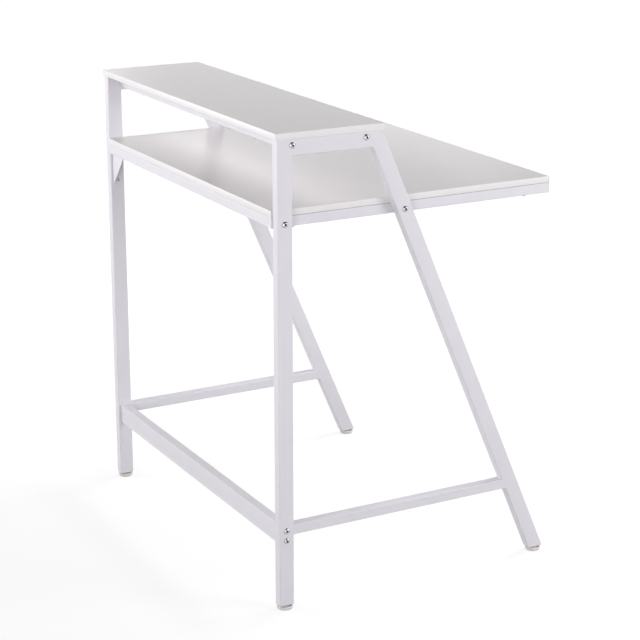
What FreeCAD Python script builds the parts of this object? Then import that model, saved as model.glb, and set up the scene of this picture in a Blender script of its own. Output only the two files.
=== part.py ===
"""Ladder desk: two slanted steel side frames that carry a desktop and a narrow upper shelf.

Millimetres, +Z up. The user sits at -Y and faces +Y. The origin lies on the floor, in the
middle of the desk's overall width and depth. Left is -X and right is +X.
"""
import FreeCAD, Part
import math
import os

V = FreeCAD.Vector
RIGHT = V(1, 0, 0)
REAR = V(0, 1, 0)
UP = V(0, 0, 1)
LEFT_AND_RIGHT = (("left", -1), ("right", 1))
REAR_AND_FRONT = (("rear", 1), ("front", -1))

# --- Driving sizes -------------------------------------------------------------------------

# Side frames, welded from rectangular tube
desk_width = 788.0            # over the outer faces of the two side frames
frame_height = 898.0          # floor to the top of the side frames
frame_depth_top = 213.6       # rear of the post to the front of the leg, at the top
frame_depth_bottom = 598.0    # the same, at the lower end of the tubes
tube_width = 20.0             # across the desk
tube_depth = 30.0             # in the plane of a side frame
tube_wall = 1.2               # of every steel tube
tube_corner = 2.0             # outer corner radius of every steel tube
sharpest_bore_corner = 0.2    # the least inner corner radius, where the wall leaves none
lower_rail_size = 20.0        # height of the rail that ties the leg to the post
lower_rail_top = 170.0        # height of its upper face above the floor

# Desktop: a board on a welded frame of square tube
desktop_top = 768.0           # height of the writing surface
desktop_depth = 600.0
desktop_rear_overhang = 2.5   # how far it reaches behind the posts
desktop_tube = 20.0           # side of the square tube
board_thickness = 12.0        # of the desktop and of the upper shelf
edge_band = 1.0               # thickness of the band glued round each board

# Upper shelf: a board on the side frames and on two cross rails
shelf_depth = 220.0
shelf_end_overhang = 1.0      # beyond the outer face of each side frame
shelf_rear_overhang = 3.0     # behind the posts
shelf_rail_height = 22.0
shelf_rail_thickness = 10.0
shelf_front_bolt_setback = 5.7  # from the leg's rear face to the bolt, on the level

# Lower stretcher between the posts
stretcher_height = 40.0
stretcher_thickness = 20.0
stretcher_bolt_pitch = 20.0

# Machine bolts with a hexagon socket, and the tapped pieces that take them
bolt_diameter = 6.0
bolt_head_diameter = 12.0
bolt_head_height = 3.0
bolt_head_chamfer = 1.4       # along the head's upper edge
bolt_socket = 4.0             # across the flats
bolt_socket_depth = 1.8
bolt_reach = 10.0             # how far the shank runs past the side frame's tube
bolt_clearance = 0.3          # round the shank in a plain hole
thread_clearance = 0.1        # round the shank in a tapped hole
end_plate_thickness = 3.0
weld_gap = 0.1                # round a piece that is welded into a tube
bush_diameter = 10.0
bush_length = 12.0

# Pan-head screws
screw_diameter = 4.0
screw_head_diameter = 8.0
screw_head_height = 2.5
screw_head_chamfer = 0.9      # along the head's upper edge
screw_clearance = 0.1         # round the shank in its hole
screw_bite = 9.0              # how deep a screw reaches into a board
screw_tip_room = 0.5          # left beyond its tip
screw_to_desktop_end = 6.5    # centre of a desktop screw to the end of the desktop
screw_to_desktop_edge = 45.5  # and to the desktop's rear edge
screw_to_front_edge = 54.5    # and to its front edge
shelf_screw_inset = 120.0     # centre of a shelf screw to the end of its rail

# Gusset bracket in the corner below the desktop's rear rail, at the right post
gusset_run = 60.0             # along the rail
gusset_drop = 69.3            # down the post
gusset_depth = 22.5           # width of its flanges, front to rear
gusset_setback = 4.5          # from the post's rear face to the bracket
gusset_sheet = 2.0
gusset_bend = 1.0             # inner radius of its bends
gusset_relief = 4.0           # notch between the two flanges
gusset_lip = 2.0              # straight part of a flange past the slanted edge
gusset_screw_inset = 9.5      # from a flange's free end to its screw
gusset_screw_length = 8.0

# Levelling feet, screwed home
foot_pad_diameter = 30.0
foot_pad_height = 8.0
foot_pad_taper = 2.5          # along the lower edge, both ways
foot_pad_chamfer = 0.8        # along the upper edge
foot_pad_floor = 2.5          # below the screw's head
foot_gap = 1.0                # between the pad and the end of the tube
foot_screw_diameter = 8.0
foot_screw_hex = 13.0         # across the flats of its head
foot_screw_length = 21.0      # above the head
foot_screw_clearance = 0.08   # round the screw in its nut plate
foot_nut_thickness = 6.0

# --- Places that follow from them ------------------------------------------------------------

bore_corner = max(tube_corner - tube_wall, sharpest_bore_corner)
rear_reach = max(shelf_rear_overhang, desktop_rear_overhang)
front_reach = max(frame_depth_bottom, desktop_depth - desktop_rear_overhang)
rear_face = (front_reach - rear_reach) / 2.0
post_front = rear_face - tube_depth
post_centre = rear_face - tube_depth / 2.0
outer_face = desk_width / 2.0
inner_face = outer_face - tube_width
tube_centre = outer_face - tube_width / 2.0

foot_top = foot_pad_height + foot_gap
leg_slope = (frame_depth_bottom - frame_depth_top) / (frame_height - foot_top)
leg_angle = math.atan(leg_slope)
leg_level_depth = tube_depth / math.cos(leg_angle)
leg_down = V(0, -math.sin(leg_angle), -math.cos(leg_angle))
leg_forward = V(0, -math.cos(leg_angle), math.sin(leg_angle))

desktop_rear = rear_face + desktop_rear_overhang
desktop_front = desktop_rear - desktop_depth
board_bottom = desktop_top - board_thickness
desktop_bottom = board_bottom - desktop_tube
desktop_bolt_height = board_bottom - desktop_tube / 2.0

shelf_rail_bottom = frame_height - shelf_rail_height
shelf_bolt_height = frame_height - shelf_rail_height / 2.0

stretcher_centre = lower_rail_top - stretcher_height / 2.0


def leg_rear_at(height):
    """Y of the leg's rear face at a height."""
    return rear_face - frame_depth_top - (frame_height - height) * leg_slope + leg_level_depth


def leg_centre_at(height):
    """Y of the middle of the leg's level section at a height."""
    return leg_rear_at(height) - leg_level_depth / 2.0


shelf_rail_centres = {
    "rear": post_front,
    "front": leg_rear_at(shelf_bolt_height) + shelf_front_bolt_setback,
}

# --- Shared operations -----------------------------------------------------------------------


def rounded_rectangle(size_x, size_y, radius):
    """A face centred on the origin in the XY plane, with rounded corners."""
    corners = []
    for index, (sign_x, sign_y) in enumerate(((1, 1), (-1, 1), (-1, -1), (1, -1))):
        centre = V(sign_x * (size_x / 2.0 - radius), sign_y * (size_y / 2.0 - radius), 0)
        corners.append(Part.makeCircle(radius, centre, UP, index * 90, index * 90 + 90))
    edges = []
    for index, corner in enumerate(corners):
        following = corners[(index + 1) % len(corners)]
        edges.append(corner)
        edges.append(Part.makeLine(corner.lastVertex().Point, following.firstVertex().Point))
    return Part.Face(Part.Wire(edges))


def prism(size_side, size_other, radius, start, end, side):
    """A rounded bar from start to end, with size_side measured along the side direction."""
    axis = (end - start).normalize()
    turn = FreeCAD.Rotation(side, axis.cross(side), axis, "ZXY")
    face = rounded_rectangle(size_side, size_other, radius)
    face.Placement = FreeCAD.Placement(start, turn)
    return face.extrude(end - start)


def tube(size_side, size_other, start, end, side):
    """A hollow bar with the shared wall and corner radius."""
    outer = prism(size_side, size_other, tube_corner, start, end, side)
    bore_side = size_side - 2.0 * tube_wall
    bore_other = size_other - 2.0 * tube_wall
    bore = prism(bore_side, bore_other, bore_corner, start, end, side)
    return outer.cut(bore)


def trimmed(shape, point, removed_side):
    """The shape without what lies past the plane through the point."""
    normal = V(removed_side).normalize()
    middle = shape.BoundBox.Center
    foot = middle + normal * (point - middle).dot(normal)
    reach = shape.BoundBox.DiagonalLength
    plane = Part.makePlane(2.0 * reach, 2.0 * reach, V(-reach, -reach, 0), UP)
    return shape.cut(placed(plane, foot, normal).extrude(normal * reach))


def hole(position, direction, diameter, clearance, depth):
    """A cutter for a round hole that starts at the position and runs along the direction."""
    return Part.makeCylinder(diameter / 2.0 + clearance, depth, position, direction)


def hexagonal_prism(across_flats, bottom, height):
    """An upright hexagonal prism on the Z axis."""
    radius = across_flats / math.sqrt(3.0)
    points = []
    for index in range(7):
        angle = math.radians(60.0 * index)
        points.append(V(radius * math.cos(angle), radius * math.sin(angle), bottom))
    return Part.Face(Part.makePolygon(points)).extrude(UP * height)


def round_block(diameter, height, lower_chamfer, upper_chamfer):
    """An upright disc on the origin, turned from a profile with a chamfer at each rim."""
    radius = diameter / 2.0
    outline = [
        V(0, 0, 0),
        V(radius - lower_chamfer, 0, 0),
        V(radius, 0, lower_chamfer),
        V(radius, 0, height - upper_chamfer),
        V(radius - upper_chamfer, 0, height),
        V(0, 0, height),
    ]
    corners = [point for index, point in enumerate(outline) if point != outline[index - 1]]
    profile = Part.Face(Part.makePolygon(corners + corners[:1]))
    return profile.revolve(V(0, 0, 0), UP, 360)


def placed(shape, position, direction):
    """A copy with its +Z axis turned to the direction and its origin moved to the position."""
    copy = shape.copy()
    copy.Placement = FreeCAD.Placement(position, FreeCAD.Rotation(UP, direction))
    return copy


def save(node, shapes):
    """Writes the solids of the shapes to one file."""
    solids = [solid for shape in shapes for solid in shape.Solids]
    body = solids[0] if len(solids) == 1 else Part.makeCompound(solids)
    if not body.isValid():
        raise RuntimeError(node + " isn't a valid solid")
    body.exportStep("parts/" + node + ".step")


# --- Fasteners -------------------------------------------------------------------------------


def make_fastener(head_diameter, head_height, head_chamfer, shank_diameter, shank_length):
    """A round fastener: the underside of its head at Z = 0 and its shank below."""
    head = round_block(head_diameter, head_height, 0.0, head_chamfer)
    shank = Part.makeCylinder(shank_diameter / 2.0, shank_length, V(0, 0, 0), UP * -1)
    return head.fuse(shank)


def make_bolt():
    """A machine bolt with a hexagon socket, long enough for a side frame and its reach."""
    bolt = make_fastener(
        bolt_head_diameter,
        bolt_head_height,
        bolt_head_chamfer,
        bolt_diameter,
        tube_width + bolt_reach,
    )
    return bolt.cut(hexagonal_prism(bolt_socket, bolt_head_height - bolt_socket_depth, bolt_socket_depth))


def make_screw(shank_length):
    """A pan-head screw."""
    return make_fastener(
        screw_head_diameter,
        screw_head_height,
        screw_head_chamfer,
        screw_diameter,
        shank_length,
    )


def bolt_positions():
    """Every bolt's centre in the plane of a side frame, by the piece that it holds."""
    stretcher_half_pitch = stretcher_bolt_pitch / 2.0
    return {
        "shelf": [V(0, y, shelf_bolt_height) for y in shelf_rail_centres.values()],
        "desktop": [
            V(0, post_centre, desktop_bolt_height),
            V(0, leg_centre_at(desktop_bolt_height), desktop_bolt_height),
        ],
        "stretcher": [
            V(0, post_centre, stretcher_centre + stretcher_half_pitch),
            V(0, post_centre, stretcher_centre - stretcher_half_pitch),
        ],
    }


def side_frame_holes(side_sign):
    """Cutters for the bolt holes right through one side frame."""
    inward = RIGHT * -side_sign
    cutters = []
    for centres in bolt_positions().values():
        for centre in centres:
            start = centre + RIGHT * (side_sign * outer_face)
            cutters.append(hole(start, inward, bolt_diameter, bolt_clearance, tube_width))
    return cutters


def tapped_holes(centres, depth):
    """Cutters for the tapped holes behind both side frames, from the inner faces inwards."""
    cutters = []
    for _, side_sign in LEFT_AND_RIGHT:
        for centre in centres:
            start = centre + RIGHT * (side_sign * inner_face)
            cutters.append(hole(start, RIGHT * -side_sign, bolt_diameter, thread_clearance, depth))
    return cutters


def make_bolts(piece):
    """The bolts that hold one piece between the side frames."""
    bolt = make_bolt()
    bolts = []
    for _, side_sign in LEFT_AND_RIGHT:
        for centre in bolt_positions()[piece]:
            head_seat = centre + RIGHT * (side_sign * outer_face)
            bolts.append(placed(bolt, head_seat, RIGHT * side_sign))
    return bolts


# --- Side frames -----------------------------------------------------------------------------

mitre_corner = V(0, rear_face, frame_height)
mitre_upward = V(0, -1, 1)


def make_post(side_sign):
    """The upright at the rear, mitred into the top rail."""
    bottom = V(side_sign * tube_centre, post_centre, foot_top)
    top = V(side_sign * tube_centre, post_centre, frame_height)
    post = tube(tube_width, tube_depth, bottom, top, RIGHT)
    post = trimmed(post, mitre_corner, mitre_upward)
    cutters = side_frame_holes(side_sign)
    if side_sign > 0:
        cutters.append(gusset_post_hole())
    return post.cut(cutters)


def make_top_rail(side_sign):
    """The rail at the top, from the post's mitre to the leg's rear face."""
    height = frame_height - tube_depth / 2.0
    rear = V(side_sign * tube_centre, rear_face, height)
    front = V(side_sign * tube_centre, rear_face - frame_depth_top, height)
    rail = tube(tube_width, tube_depth, rear, front, RIGHT)
    rail = trimmed(rail, mitre_corner, mitre_upward * -1)
    rail = trimmed(rail, V(0, leg_rear_at(height), height), leg_forward)
    return rail.cut(side_frame_holes(side_sign))


def leg_bar(side_sign, size_side, size_other, radius, bottom, top):
    """A solid bar on the leg's centre line, cut level at two heights."""
    middle = V(side_sign * tube_centre, leg_centre_at(bottom), bottom)
    length = (top - bottom) / math.cos(leg_angle)
    overrun = tube_depth
    start = middle - leg_down * (length + overrun)
    end = middle + leg_down * overrun
    bar = prism(size_side, size_other, radius, start, end, RIGHT)
    bar = trimmed(bar, V(0, 0, top), UP)
    return trimmed(bar, V(0, 0, bottom), UP * -1)


def make_leg(side_sign):
    """The slanted leg at the front, cut level at both ends."""
    outer = leg_bar(side_sign, tube_width, tube_depth, tube_corner, foot_top, frame_height)
    bore_width = tube_width - 2.0 * tube_wall
    bore_depth = tube_depth - 2.0 * tube_wall
    bore = leg_bar(side_sign, bore_width, bore_depth, bore_corner, foot_top, frame_height)
    return outer.cut([bore] + side_frame_holes(side_sign))


def make_lower_rail(side_sign):
    """The level rail near the floor, between the post and the leg."""
    height = lower_rail_top - lower_rail_size / 2.0
    rear = V(side_sign * tube_centre, post_front, height)
    front = V(side_sign * tube_centre, leg_centre_at(height - lower_rail_size), height)
    rail = tube(tube_width, lower_rail_size, rear, front, RIGHT)
    return trimmed(rail, V(0, leg_rear_at(height), height), leg_forward)


# --- Desktop ---------------------------------------------------------------------------------


def make_board(width, rear, depth, bottom, cutters):
    """A board's core, inside its edge band."""
    size_x = width - 2.0 * edge_band
    size_y = depth - 2.0 * edge_band
    corner = V(-size_x / 2.0, rear - depth + edge_band, bottom)
    return Part.makeBox(size_x, size_y, board_thickness, corner).cut(cutters)


def make_edge_band(width, rear, depth, bottom):
    """Four strips round a board; the end strips stand between the long ones."""
    front = rear - depth
    strips = []
    for y in (front, rear - edge_band):
        strips.append(Part.makeBox(width, edge_band, board_thickness, V(-width / 2.0, y, bottom)))
    for x in (-width / 2.0, width / 2.0 - edge_band):
        corner = V(x, front + edge_band, bottom)
        strips.append(Part.makeBox(edge_band, depth - 2.0 * edge_band, board_thickness, corner))
    return strips


desktop_half_width = inner_face
desktop_height = board_bottom - desktop_tube / 2.0
desktop_edges = {"rear": desktop_rear, "front": desktop_front}


def desktop_screw_points():
    """Where the screws enter the underside of the desktop's frame."""
    points = []
    for _, side_sign in LEFT_AND_RIGHT:
        x = side_sign * (desktop_half_width - screw_to_desktop_end)
        points.append(V(x, desktop_rear - screw_to_desktop_edge, desktop_bottom))
        points.append(V(x, desktop_front + screw_to_front_edge, desktop_bottom))
    for name, end_sign in REAR_AND_FRONT:
        points.append(V(0, desktop_edges[name] - end_sign * desktop_tube / 2.0, desktop_bottom))
    return points


def screw_holes(points, depth):
    """Cutters for screws driven upwards from the points."""
    return [hole(point, UP, screw_diameter, screw_clearance, depth) for point in points]


def make_desktop_long_rail(name, end_sign):
    """The rail along the rear or front edge, mitred at both ends."""
    edge = desktop_edges[name]
    y = edge - end_sign * desktop_tube / 2.0
    start = V(-desktop_half_width, y, desktop_height)
    end = V(desktop_half_width, y, desktop_height)
    rail = tube(desktop_tube, desktop_tube, start, end, REAR)
    for _, side_sign in LEFT_AND_RIGHT:
        corner = V(side_sign * desktop_half_width, edge, 0)
        rail = trimmed(rail, corner, V(side_sign, -end_sign, 0))
    cutters = screw_holes(desktop_screw_points(), desktop_tube)
    if end_sign > 0:
        cutters.append(gusset_rail_hole())
    return rail.cut(cutters)


def make_desktop_side_rail(side_sign):
    """The rail along one end, mitred at both ends, with holes for its two bushes."""
    x = side_sign * (desktop_half_width - desktop_tube / 2.0)
    start = V(x, desktop_front, desktop_height)
    end = V(x, desktop_rear, desktop_height)
    rail = tube(desktop_tube, desktop_tube, start, end, RIGHT)
    for name, end_sign in REAR_AND_FRONT:
        corner = V(side_sign * desktop_half_width, desktop_edges[name], 0)
        rail = trimmed(rail, corner, V(-side_sign, end_sign, 0))
    cutters = screw_holes(desktop_screw_points(), desktop_tube)
    for centre in bolt_positions()["desktop"]:
        start = centre + RIGHT * (side_sign * inner_face)
        cutters.append(hole(start, RIGHT * -side_sign, bush_diameter, weld_gap, bush_length))
    return rail.cut(cutters)


def make_desktop_bushes():
    """Threaded bushes welded into the outer walls of the desktop's side rails."""
    bushes = []
    for _, side_sign in LEFT_AND_RIGHT:
        inward = RIGHT * -side_sign
        for centre in bolt_positions()["desktop"]:
            start = centre + RIGHT * (side_sign * inner_face)
            outside = Part.makeCylinder(bush_diameter / 2.0, bush_length, start, inward)
            bushes.append(outside.cut(hole(start, inward, bolt_diameter, thread_clearance, bush_length)))
    return bushes


# --- Upper shelf -----------------------------------------------------------------------------

shelf_width = desk_width + 2.0 * shelf_end_overhang
shelf_rear = rear_face + shelf_rear_overhang


def shelf_screw_points():
    """Where the screws enter the underside of the shelf's cross rails."""
    points = []
    for y in shelf_rail_centres.values():
        for _, side_sign in LEFT_AND_RIGHT:
            points.append(V(side_sign * (inner_face - shelf_screw_inset), y, shelf_rail_bottom))
    return points


def make_shelf_rail(name):
    """A flat cross rail between the two top rails."""
    y = shelf_rail_centres[name]
    start = V(-inner_face, y, shelf_bolt_height)
    end = V(inner_face, y, shelf_bolt_height)
    rail = tube(shelf_rail_thickness, shelf_rail_height, start, end, REAR)
    return rail.cut(screw_holes(shelf_screw_points(), shelf_rail_height))


def make_end_plates(size_y, size_z, centres):
    """Tapped plates just inside both ends of each cross tube, flush with the tube's ends."""
    plate_y = size_y - 2.0 * (tube_wall + weld_gap)
    plate_z = size_z - 2.0 * (tube_wall + weld_gap)
    plates = []
    for _, side_sign in LEFT_AND_RIGHT:
        for centre in centres:
            outside = centre + RIGHT * (side_sign * inner_face)
            inside = outside - RIGHT * (side_sign * end_plate_thickness)
            plates.append(prism(plate_y, plate_z, bore_corner, outside, inside, REAR))
    return plates


# --- Lower stretcher -------------------------------------------------------------------------


def make_stretcher():
    """The flat tube near the floor, between the posts."""
    start = V(-inner_face, post_centre, stretcher_centre)
    end = V(inner_face, post_centre, stretcher_centre)
    return tube(stretcher_thickness, stretcher_height, start, end, REAR)


# --- Gusset bracket --------------------------------------------------------------------------

gusset_rear = rear_face - gusset_setback
gusset_front = gusset_rear - gusset_depth
gusset_tip_x = inner_face - gusset_run
gusset_tip_z = desktop_bottom - gusset_drop
gusset_bend_end = gusset_rear - gusset_sheet - gusset_bend
gusset_post_screw = V(inner_face, post_centre, gusset_tip_z + gusset_screw_inset)
gusset_rail_screw = V(
    gusset_tip_x + gusset_screw_inset,
    gusset_bend_end - screw_head_diameter / 2.0,
    desktop_bottom,
)


def gusset_post_hole():
    """A cutter for the hole in the post's inner wall."""
    return hole(gusset_post_screw, RIGHT, screw_diameter, screw_clearance, tube_width / 2.0)


def gusset_rail_hole():
    """A cutter for the hole in the lower wall of the desktop's rear rail."""
    return hole(gusset_rail_screw, UP, screw_diameter, screw_clearance, desktop_tube / 2.0)


def gusset_block(inset, radius):
    """The bracket's envelope, drawn in from its three closed sides, with its bends rounded."""
    size = V(gusset_run - inset, gusset_depth - inset, gusset_drop - inset)
    corner = V(gusset_tip_x, gusset_front, gusset_tip_z)
    block = Part.makeBox(size.x, size.y, size.z, corner)
    centre = block.BoundBox.Center
    bends = []
    for edge in block.Edges:
        middle = edge.BoundBox.Center
        at_post = middle.x > centre.x and middle.z == centre.z
        at_rail = middle.z > centre.z and middle.x == centre.x
        if middle.y > centre.y and (at_post or at_rail):
            bends.append(edge)
    return block.makeFillet(radius, bends)


def below_gusset_web():
    """A cutter for the corner that the slanted edge takes off the web."""
    low_x = inner_face - gusset_sheet - gusset_bend
    high_z = desktop_bottom - gusset_sheet - gusset_bend
    outline = [
        (low_x, gusset_tip_z + gusset_lip),
        (gusset_tip_x + gusset_lip, high_z),
        (gusset_tip_x, high_z),
        (gusset_tip_x, gusset_tip_z),
        (low_x, gusset_tip_z),
    ]
    points = [V(x, gusset_front, z) for x, z in outline + outline[:1]]
    return Part.Face(Part.makePolygon(points)).extrude(REAR * gusset_depth)


def make_gusset():
    """A bent sheet: a slanted web with one flange on the post and one under the rail."""
    outside = gusset_block(0.0, gusset_bend + gusset_sheet)
    inside = gusset_block(gusset_sheet, gusset_bend)
    notch_corner = V(inner_face - gusset_relief, gusset_front, desktop_bottom - gusset_relief)
    notch_depth = gusset_bend_end - gusset_front
    notch = Part.makeBox(gusset_relief, notch_depth, gusset_relief, notch_corner)
    cutters = [inside, below_gusset_web(), notch]
    for screw, direction in ((gusset_post_screw, RIGHT), (gusset_rail_screw, UP)):
        start = screw - direction * gusset_sheet
        cutters.append(hole(start, direction, screw_diameter, screw_clearance, gusset_sheet))
    return outside.cut(cutters)


def make_gusset_screws():
    """Two short screws, one into the post and one into the desktop's rear rail."""
    screw = make_screw(gusset_screw_length)
    screws = []
    for point, direction in ((gusset_post_screw, RIGHT), (gusset_rail_screw, UP)):
        screws.append(placed(screw, point - direction * gusset_sheet, direction * -1))
    return screws


# --- Levelling feet --------------------------------------------------------------------------

foot_centres = {"rear": post_centre, "front": leg_centre_at(foot_top)}


def make_foot_screw(side_sign, name):
    """A hexagon-head screw, head down, whose head stands on the pad's floor."""
    head = hexagonal_prism(foot_screw_hex, foot_pad_floor, foot_top - foot_pad_floor)
    shank = Part.makeCylinder(foot_screw_diameter / 2.0, foot_screw_length, V(0, 0, foot_top))
    screw = head.fuse(shank)
    return placed(screw, V(side_sign * tube_centre, foot_centres[name], 0), UP)


def make_foot_pad(side_sign, name):
    """A round moulded pad with a hexagonal pocket for the screw's head."""
    pad = round_block(foot_pad_diameter, foot_pad_height, foot_pad_taper, foot_pad_chamfer)
    pad = pad.cut(hexagonal_prism(foot_screw_hex, foot_pad_floor, foot_pad_height))
    return placed(pad, V(side_sign * tube_centre, foot_centres[name], 0), UP)


def make_foot_nut_plates(name):
    """Tapped plates welded into the lower ends of the posts or the legs, flush with them."""
    plate_width = tube_width - 2.0 * (tube_wall + weld_gap)
    plate_depth = tube_depth - 2.0 * (tube_wall + weld_gap)
    top = foot_top + foot_nut_thickness
    plates = []
    for _, side_sign in LEFT_AND_RIGHT:
        x = side_sign * tube_centre
        start = V(x, foot_centres[name], foot_top)
        if name == "front":
            plate = leg_bar(side_sign, plate_width, plate_depth, bore_corner, foot_top, top)
        else:
            plate = prism(plate_width, plate_depth, bore_corner, start, V(x, start.y, top), RIGHT)
        bore = hole(start, UP, foot_screw_diameter, foot_screw_clearance, foot_nut_thickness)
        plates.append(plate.cut(bore))
    return plates


# --- Assembly --------------------------------------------------------------------------------


def save_side_frames():
    """Posts, top rails, legs and lower rails of both sides."""
    for side, side_sign in LEFT_AND_RIGHT:
        save(side + "_rear_post", [make_post(side_sign)])
        save(side + "_top_rail", [make_top_rail(side_sign)])
        save(side + "_front_leg", [make_leg(side_sign)])
        save(side + "_lower_rail", [make_lower_rail(side_sign)])


def save_desktop():
    """The desktop's board, band, welded frame, bushes and fasteners."""
    size = (2.0 * desktop_half_width, desktop_rear, desktop_depth, board_bottom)
    board_points = [V(p.x, p.y, board_bottom) for p in desktop_screw_points()]
    save("desktop_board", [make_board(*size, screw_holes(board_points, screw_bite + screw_tip_room))])
    save("desktop_edge_band", make_edge_band(*size))
    for name, end_sign in REAR_AND_FRONT:
        save("desktop_" + name + "_rail", [make_desktop_long_rail(name, end_sign)])
    for side, side_sign in LEFT_AND_RIGHT:
        save("desktop_" + side + "_rail", [make_desktop_side_rail(side_sign)])
    save("desktop_nut_bushes", make_desktop_bushes())
    save("desktop_bolts", make_bolts("desktop"))
    screw = make_screw(desktop_tube + screw_bite)
    save("desktop_board_screws", [placed(screw, p, UP * -1) for p in desktop_screw_points()])


def save_shelf():
    """The shelf's board, band, cross rails, end plates and fasteners."""
    size = (shelf_width, shelf_rear, shelf_depth, frame_height)
    board_points = [V(p.x, p.y, frame_height) for p in shelf_screw_points()]
    save("shelf_board", [make_board(*size, screw_holes(board_points, screw_bite + screw_tip_room))])
    save("shelf_edge_band", make_edge_band(*size))
    for name in shelf_rail_centres:
        save("shelf_" + name + "_rail", [make_shelf_rail(name)])
    centres = bolt_positions()["shelf"]
    plates = make_end_plates(shelf_rail_thickness, shelf_rail_height, centres)
    threads = tapped_holes(centres, end_plate_thickness)
    save("shelf_rail_end_plates", [plate.cut(threads) for plate in plates])
    save("shelf_bolts", make_bolts("shelf"))
    screw = make_screw(shelf_rail_height + screw_bite)
    save("shelf_board_screws", [placed(screw, p, UP * -1) for p in shelf_screw_points()])


def save_stretcher():
    """The lower stretcher, its end plates and bolts."""
    save("lower_stretcher", [make_stretcher()])
    centre = [V(0, post_centre, stretcher_centre)]
    plates = make_end_plates(stretcher_thickness, stretcher_height, centre)
    threads = tapped_holes(bolt_positions()["stretcher"], end_plate_thickness)
    save("stretcher_end_plates", [plate.cut(threads) for plate in plates])
    save("stretcher_bolts", make_bolts("stretcher"))


def save_feet():
    """The four levelling feet and the plates that they screw into."""
    for name, _ in REAR_AND_FRONT:
        save(name + "_foot_nut_plates", make_foot_nut_plates(name))
        for side, side_sign in LEFT_AND_RIGHT:
            save(side + "_" + name + "_foot_pad", [make_foot_pad(side_sign, name)])
            save(side + "_" + name + "_foot_screw", [make_foot_screw(side_sign, name)])


os.makedirs("parts", exist_ok=True)
save_side_frames()
save_desktop()
save_shelf()
save_stretcher()
save("gusset_bracket", [make_gusset()])
save("gusset_screws", make_gusset_screws())
save_feet()
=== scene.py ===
"""Ladder desk: the finishes, fasteners, welds, edge bands and feet around the packed frame.

Lengths are metres in the desk's own frame: +Z up, +Y to the rear, left is -X. Every piece is
built in place, with its object at the origin.
"""
import math

import bmesh
import bpy
from bpy.props import FloatProperty, FloatVectorProperty, IntProperty, PointerProperty
from mathutils import Matrix, Vector


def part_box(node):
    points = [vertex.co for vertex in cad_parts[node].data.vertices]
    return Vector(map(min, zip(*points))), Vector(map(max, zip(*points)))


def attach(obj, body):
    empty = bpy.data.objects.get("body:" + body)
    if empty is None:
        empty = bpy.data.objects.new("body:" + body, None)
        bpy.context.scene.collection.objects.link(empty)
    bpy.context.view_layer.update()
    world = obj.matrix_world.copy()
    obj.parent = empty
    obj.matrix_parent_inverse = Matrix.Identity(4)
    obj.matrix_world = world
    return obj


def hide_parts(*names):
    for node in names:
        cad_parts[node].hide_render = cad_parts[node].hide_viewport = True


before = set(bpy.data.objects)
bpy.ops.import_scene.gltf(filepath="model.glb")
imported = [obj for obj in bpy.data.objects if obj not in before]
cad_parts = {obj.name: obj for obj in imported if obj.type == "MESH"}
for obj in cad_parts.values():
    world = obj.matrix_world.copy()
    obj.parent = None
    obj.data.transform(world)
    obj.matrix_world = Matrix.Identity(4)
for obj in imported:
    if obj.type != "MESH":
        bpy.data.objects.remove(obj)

bpy.context.view_layer.update()

bl_info = {
    "name": "Ladder desk",
    "version": (1, 0, 0),
    "blender": (4, 5, 0),
    "location": "3D View > Sidebar > Ladder desk",
    "description": "Dresses a ladder desk in powder coat, laminate, nickel and nylon",
    "category": "Object",
}

MM = 0.001
SIDES = (("left", -1), ("right", 1))
ENDS = (("rear", 1), ("front", -1))


# --- Settings ---


def linear(hex_colour):
    """The linear colour of an sRGB hex value."""
    channels = [int(hex_colour[place:place + 2], 16) / 255.0 for place in (1, 3, 5)]
    return tuple(c / 12.92 if c <= 0.04045 else ((c + 0.055) / 1.055) ** 2.4 for c in channels)


def colour_setting(name, description, hex_colour):
    """A colour that a user can change."""
    return FloatVectorProperty(
        name=name,
        description=description,
        subtype="COLOR",
        size=3,
        min=0.0,
        max=1.0,
        default=linear(hex_colour),
    )


def length_setting(name, description, millimetres):
    """A length that a user can change, stored in metres."""
    return FloatProperty(
        name=name,
        description=description,
        subtype="DISTANCE",
        unit="LENGTH",
        min=0.0,
        precision=5,
        default=millimetres * MM,
    )


def strength_setting(name, description, value, highest):
    """A plain strength that a user can change."""
    return FloatProperty(name=name, description=description, default=value, min=0.0, max=highest)


class LadderDeskFinish(bpy.types.PropertyGroup):
    """Colours and surface grain of the desk's materials."""

    powder: colour_setting("Powder coat", "Colour of the coated steel", "#E6E3EA")
    powder_thin: colour_setting("Thin powder coat", "Colour where the coat is thinner", "#E1DEE5")
    laminate: colour_setting("Laminate", "Colour of the board faces", "#E5E1E2")
    laminate_cloud: colour_setting("Laminate cloud", "Second tone of the board faces", "#E1DDDE")
    band: colour_setting("Edge band", "Colour of the band round each board", "#EBE8E9")
    # Glue colour: painted shade, a dark line that stands in for shadow in the band's joints and in
    # the groove above the frame.
    shade_glue: colour_setting("Glue", "Colour of the glue at the edge band's joints", "#5A5350")
    nickel: colour_setting("Nickel", "Colour of the bright plated heads", "#BFBEC0")
    # Recess colour: partly thin plating, partly painted shade inside the driving recesses.
    recess: colour_setting("Recess", "Colour inside the driving recesses", "#3A3937")
    zinc: colour_setting("Zinc", "Colour of the levelling screws", "#BFC3C6")
    steel: colour_setting("Plain steel", "Colour of the uncoated inner fittings", "#8B8A89")
    nylon: colour_setting("Nylon", "Colour of the foot pads", "#E2DCD8")
    orange_peel: length_setting("Orange peel", "Width of the powder coat's waves", 5.0)
    laminate_grain: length_setting("Laminate grain", "Width of the laminate's pearls", 3.0)


class LadderDeskWelds(bpy.types.PropertyGroup):
    """Weld beads of the steel frames."""

    radius: length_setting("Bead radius", "Radius of a weld bead", 1.7)
    ripple: length_setting("Ripple", "Length of one ripple along a bead", 2.2)


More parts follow.
